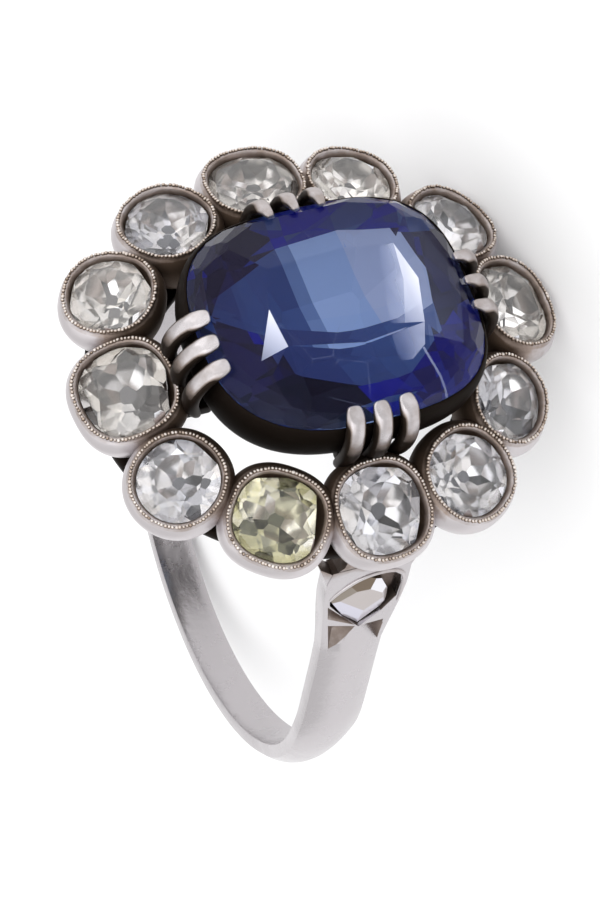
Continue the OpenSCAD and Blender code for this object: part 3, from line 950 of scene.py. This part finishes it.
def cutStone(name, across, along, square, cut, seed, flats):
    rng = random.Random(seed)
    stone, outline = squaredPrism(name, across, along, square, cut["sides"], cut["depth"])
    startEdit(stone)
    for direction, part in flats:
        turn = radians(direction)
        grind(turn, pi / 2, support(outline, turn) * part, 0)
    step = 2 * pi / cut["mains"]
    phase = rng.uniform(0, step)

    def jitter(size):
        return radians(rng.uniform(-size, size))

    def around(spot):
        return phase + spot * step + jitter(cut["turnJitter"])

    def facet(turn, kind, part, height, size):
        # under the girdle where the height is below nought
        slope = radians(cut[kind])
        if height < 0:
            slope = pi - slope
        grind(turn, slope + jitter(size), support(outline, turn) * part, height)

    grind(0, jitter(cut["tableJitter"]), 0, cut["tableHeight"])
    for k in range(cut["mains"]):
        facet(around(k), "crown", 1, 0, cut["slopeJitter"])
    for k in range(cut["mains"]):
        turn = around(k + 0.5)
        facet(turn, "star", cut["tablePart"], cut["tableHeight"], cut["slopeJitter"])
        for side in (-0.25, 0.25):
            facet(turn + side * step, "upper", 1, 0, cut["slopeJitter"])
    for k in range(cut["mains"]):
        facet(around(k), "pavilion", 1, -cut["girdle"], cut["slopeJitter"])
        for side in (0.25, 0.75):
            facet(around(k + side), "lower", 1, -cut["girdle"], cut["lowerJitter"])
        facet(around(k + 0.5), "keel", cut["keelPart"], -cut["keelDepth"], cut["slopeJitter"])
    grind(0, pi, 0, -cut["culet"])
    endEdit()
    turnOut(stone)

    # painted reflections and shade: the culet and some facets dark, the rest from grey to white
    def tone(middle, normal):
        if normal.z < cut["flatBelow"] or rng.random() < cut["darkShare"]:
            return cut["darkTone"]
        return rng.uniform(*cut["tones"])

    toneFaces(stone, tone)
    return stone


def makeHaloStone(number):
    x, y, across, along, square, turn = halo["collets"][number]
    less = oldCut["clearance"]
    stone = cutStone(f"diamond_{number + 1}", across / 2 - less, along / 2 - less, square, oldCut,
                     40 + number, flatSides[number + 1])
    rng = random.Random(number)
    least, most = oldCut["brightAreas"]

    # slot 2 is the painted glint
    def slotOf(face):
        if face.normal.z < oldCut["backBelow"]:
            return 1
        return 2 if least < face.area < most and rng.random() < oldCut["brightShare"] else 0

    slots = [slotOf(face) for face in stone.data.polygons]
    place = colletPlace(number) @ Matrix.Translation((0, 0, -oldCut["sink"]))
    finishPiece(stone, place, f"halo_stone_{number + 1}", "clear_stone", diamondCrown,
                tinted.get(number + 1, diamondBack), glintFacet, slots=slots)


for number in range(len(halo["collets"])):
    makeHaloStone(number)
print("halo stones cut")

# centre stone: distances in mm from its middle, heights from its girdle, angles in degrees
sapphire = {
    "tableHeight": 1.35, "sides": 96, "depth": 9, "culet": 3.6, "backBelow": -0.02,
    # crown facets next to the table: direction, distance of the table's edge, slope
    "mains": [
        (-14, 2.90, 19), (13.4, 2.91, 20), (79.5, 2.02, 18), (92, 1.88, 19), (161.8, 2.79, 20),
        (184.8, 2.86, 21), (258.5, 1.91, 19), (276.3, 1.97, 18)],
    # rows below them: count, first direction, slope, part of the outline, height
    "rows": [
        (8, 45, 30, 0.80, 0.93), (12, 15, 38, 0.87, 0.7), (16, 0, 52, 0.94, 0.38),
        (24, 7.5, 66, 0.985, 0.12)],
    # the same on the pavilion, with slopes from below
    "back": [
        (16, 0, 55, 1.0, -0.16), (16, 11.25, 48, 0.9, -0.85), (8, 22.5, 42, 0.82, -1.35),
        (8, 0, 33, 0.6, -2.15)],
    # long facets under the table: direction, slope, distance from the middle, depth
    "keel": [(86, 14, 0.2, 3.35), (268, 27, 0.9, 3.2), (182, 20, 2.2, 3.0), (2, 16, 2.4, 3.0)],
    # stretches of the crown with painted highlights and painted milky reflections, the brightest along worn
    # edges, as outlines with the strength at each point
    "wear_and_highlight": [
        [(2.22, -2.6, 0.3), (2.3, -2.57, 0.3), (2.82, -4.3, 0.22), (2.72, -4.33, 0.22)],
        [(-2.86, 0.2, 1.0), (-3.75, -1.55, 0.35), (-2.72, -1.42, 0.7)],
        [(2.64, 1.62, 0.85), (2.45, 0.1, 0.75), (3.02, 0.02, 1.0)],
        [(2.45, 0.1, 0.75), (1.85, -1.6, 0.4), (2.58, -1.74, 0.6), (3.02, 0.02, 1.0)],
        [(2.0, 1.64, 0.0), (1.65, 0.1, 0.0), (1.3, -1.5, 0.0), (1.85, -1.6, 0.3), (2.45, 0.1, 0.5),
         (2.64, 1.62, 0.4)],
        [(1.2, -1.9, 0.1), (2.58, -1.74, 0.5), (2.35, -2.5, 0.45), (1.75, -2.9, 0.3), (1.2, -2.9, 0.0)],
        [(2.5, 2.0, 0.03), (2.5, -2.2, 0.09), (3.9, -2.7, 0.05), (4.8, 0.0, 0.03), (4.0, 2.4, 0.03)]],
    # how far from its middle a stretch cuts the table and other facets, and how soft its painted highlight
    # is
    "tableReach": 4.6, "crownReach": 3, "highlightSoft": 0.001}
# parts of the pavilion as seen through the table, the lines that grade the window, and the tones of all:
# painted reflections and shade, light in the window and near black at the rims
pavilion = {
    "window": [
        (-3.9, 1.35), (-2.2, 0.75), (0.4, -0.05), (2.6, -0.3), (3.55, -0.1), (3.8, 1.1), (3.4, 2.7),
        (1.6, 3.15), (-0.9, 3.0), (-3.3, 2.1)],
    "grades": [(-2.3, 0.41), (-0.5, 0.46), (0.05, 0.56), (2.0, 0.7)],
    "gradeLean": 0.15, "gradeSpread": 0.02,
    "lastGrade": 0.84, "lastSpread": 0.03,
    "lowBand": [(-2.0, 0.8), (3.6, 0.2), (3.5, -1.2), (2.3, -2.1), (0.5, -2.0), (-1.6, -0.7)],
    "lowTone": 0.405, "lowRise": 0.035,
    "topBand": 2.7, "topFrom": -1.6, "topTones": (0.28, 0.48),
    "nearRim": -0.9, "leftRim": -4.4, "rimMiddle": 0.5, "leftTones": (0, 0.03), "rightTones": (0.18, 0.36),
    "royalShare": 0.1, "royal": 0.3, "royalSpread": 0.1, "otherTones": (0.06, 0.15)}


def splitFaces(piece, test, place, normal):
    # Cuts the chosen faces in two without taking anything away.
    pick(piece, "FACE", test)
    bpy.ops.mesh.bisect(plane_co=place, plane_no=normal, threshold=merge["cut"])


def splitAlong(piece, corners, test):
    # the same along each side of an outline
    for (x0, y0), (x1, y1) in sidesOf(corners):
        splitFaces(piece, test, (x0, y0, 0), Vector((y1 - y0, x0 - x1, 0)).normalized())


def isBack(face):
    return face.normal.z < -0.1


# painted reflections and shade: the light window, the near-black rims, some royal-blue facets
def pavilionTone(middle, rng):
    if inside(pavilion["window"], middle):
        for x, value in pavilion["grades"]:
            if middle.x + pavilion["gradeLean"] * middle.y < x:
                return value + rng.uniform(-pavilion["gradeSpread"], pavilion["gradeSpread"])
        return pavilion["lastGrade"] + rng.uniform(-pavilion["lastSpread"], pavilion["lastSpread"])
    if inside(pavilion["lowBand"], middle):
        return pavilion["lowTone"] + pavilion["lowRise"] * max(0, middle.x)
    if middle.y > pavilion["topBand"] and middle.x > pavilion["topFrom"]:
        return rng.uniform(*pavilion["topTones"])
    if middle.y < pavilion["nearRim"] and middle.x > pavilion["leftRim"]:
        return rng.uniform(*pavilion["leftTones" if middle.x < pavilion["rimMiddle"] else "rightTones"])
    if rng.random() < pavilion["royalShare"]:
        return pavilion["royal"] - rng.uniform(0, pavilion["royalSpread"])
    return rng.uniform(*pavilion["otherTones"])


def crownHighlight(place, middle):
    # the painted highlight of the stretch that a face is in, mixed from the outline's points by their
    # nearness
    for stretch in sapphire["wear_and_highlight"]:
        if middle.z > 0 and inside([(x, y) for x, y, value in stretch], middle):
            shares = [(1 / (sapphire["highlightSoft"] + (place.x - x) ** 2 + (place.y - y) ** 2), value)
                      for x, y, value in stretch]
            return sum(share * value for share, value in shares) / sum(share for share, value in shares)
    return 0.0


def makeSapphire():
    stone, outline = squaredPrism("sapphire", gem["across"], gem["along"], gemSquare, sapphire["sides"],
                                  sapphire["depth"])
    startEdit(stone)
    grind(0, 0, 0, sapphire["tableHeight"])
    for direction, distance, slope in sapphire["mains"]:
        grind(radians(direction), radians(slope), distance, sapphire["tableHeight"])
    for count, first, slope, part, height in sapphire["rows"] + sapphire["back"]:
        lean = radians(slope) if height > 0 else pi - radians(slope)
        for k in range(count):
            turn = radians(first + 360 * k / count)
            grind(turn, lean, support(outline, turn) * part, height)
    for direction, slope, distance, depth in sapphire["keel"]:
        grind(radians(direction), pi - radians(slope), distance, -depth)
    grind(0, pi, 0, -sapphire["culet"])
    for stretch in sapphire["wear_and_highlight"]:
        corners = [(x, y) for x, y, value in stretch]
        middle = Vector([sum(values) / len(corners) for values in zip(*corners)])

        def atCrown(face):
            reach = sapphire["tableReach" if face.normal.z > 0.99 else "crownReach"]
            return face.normal.z > 0.1 and (face.calc_center_median().xy - middle).length < reach

        splitAlong(stone, corners, atCrown)
    splitAlong(stone, pavilion["window"], isBack)
    splitAlong(stone, pavilion["lowBand"], isBack)
    for x, value in pavilion["grades"]:
        splitFaces(stone, isBack, (x, 0, 0), (1, pavilion["gradeLean"], 0))
    endEdit()
    turnOut(stone)
    rng = random.Random(5)
    toneFaces(stone, lambda middle, normal: pavilionTone(middle, rng))
    paintCorners(stone, "wear_and_highlight", crownHighlight)
    slots = [1 if face.normal.z < sapphire["backBelow"] else 0 for face in stone.data.polygons]
    finishPiece(stone, gemPlace, "centre_stone", "blue_stone", blueCrown, blueBack, slots=slots)


makeSapphire()
print("centre stone cut")

# small stones of the shoulders, outlines as on the plate's face, heights from it
roseCut = {
    "outline": [
        (0.03, 7.05), (0.84, 7.82), (1.0, 8.3), (1.0, 8.75), (0.72, 9.32), (0.05, 9.62), (-0.78, 9.47),
        (-1.37, 8.94), (-0.71, 7.8)],
    # tones of the top and the back: painted reflection and painted shade
    "top": 0.0, "bottom": -0.5, "topTone": 0.62, "backTone": 0.1, "backBelow": 0.1,
    # facets: direction and slope in degrees, a place on the face that each goes through, and its tone, a
    # painted reflection (the brightest a painted highlight)
    "facets": [
        (228, 9, (-0.55, 8.45), 0.8), (308, 10, (0.4, 8.1), 0.74), (118, 24, (-0.5, 9.1), 0.42),
        (86, 33, (0.12, 9.15), 0.22), (52, 27, (0.45, 8.95), 0.9), (10, 30, (0.78, 8.5), 0.66)]}


def makeRoseCuts():
    first = plateFrom("rose_cut_1", onFace(roseCut["outline"]), roseCut["bottom"], roseCut["top"])
    facets = [(Vector((0, 0, 1)), roseCut["topTone"])]
    startEdit(first)
    for direction, slope, spot, tone in roseCut["facets"]:
        normal = facing(radians(direction), radians(slope))
        facets.append((normal, tone))
        grindAt((*onFace([spot])[0], roseCut["top"]), normal)
    endEdit()
    turnOut(first)

    # painted reflections: each face takes the tone of the facet it faces most, the back dark
    def tone(middle, normal):
        if normal.z < roseCut["backBelow"]:
            return roseCut["backTone"]
        return max(facets, key=lambda facet: facet[0].dot(normal))[1]

    toneFaces(first, tone)
    for number, (stone, way) in enumerate([(first, -1), (copyOf(first, "rose_cut_2"), 1)]):
        finishPiece(stone, shoulderPlace(way), f"shoulder_stone_{number + 1}", "clear_stone", roseFacets)


makeRoseCuts()
print("shoulder stones cut")

# floor and light
studio = {
    "floorSize": 2, "floorCuts": 3, "floorColour": (0.97, 0.97, 0.975), "floorShades": (0.985, 1),
    "floorGrain": {"Scale": 40, "Detail": 3}, "floorRoughness": 0.6,
    "world": (1, 1, 1), "worldStrength": 0.95, "target": Vector((0, 0, 10)),
    # name, direction from the ring as it stands upright, distance in mm, size in metres, brightness
    "lamps": [
        ("overhead", (-0.88, -0.1, 0.45), 420, 0.8, 0.45),
        ("front", (-0.45, -0.75, 0.5), 420, 0.4, 0.6),
        ("back", (-0.3, 0.75, 0.6), 450, 0.45, 0.75)]}


def layFloor():
    floor = startPiece("floor", bpy.ops.mesh.primitive_plane_add, size=studio["floorSize"])
    startEdit(floor)
    bpy.ops.mesh.subdivide(number_cuts=studio["floorCuts"])
    endEdit()
    material, tree, shader = newMaterial("pale_floor")
    shades = [[part * c for c in studio["floorColour"]] for part in studio["floorShades"]]
    colour = addRamp(tree, noise(tree, studio["floorGrain"]), list(zip((0, 1), shades)))
    feed(tree, shader, {"Base Color": colour, "Roughness": studio["floorRoughness"]})
    floor.data.materials.append(material)


def hangLamps():
    world = bpy.data.worlds.new("studio")
    bpy.context.scene.world = world
    world.use_nodes = True
    background = world.node_tree.nodes["Background"]
    background.inputs["Color"].default_value = (*studio["world"], 1)
    background.inputs["Strength"].default_value = studio["worldStrength"]
    target = upright @ studio["target"]
    for name, direction, distance, size, bright in studio["lamps"]:
        place = target + upright.to_3x3() @ (Vector(direction).normalized() * distance)
        lamp = startPiece(name, bpy.ops.object.light_add, type="AREA", location=place)
        lamp.data.size = size
        lamp.data.energy = bright * pi * size * size
        lamp.rotation_euler = (target - place).to_track_quat("-Z", "Y").to_euler()


layFloor()
hangLamps()
bpy.context.scene.view_settings.view_transform = "Standard"
print("studio lit")
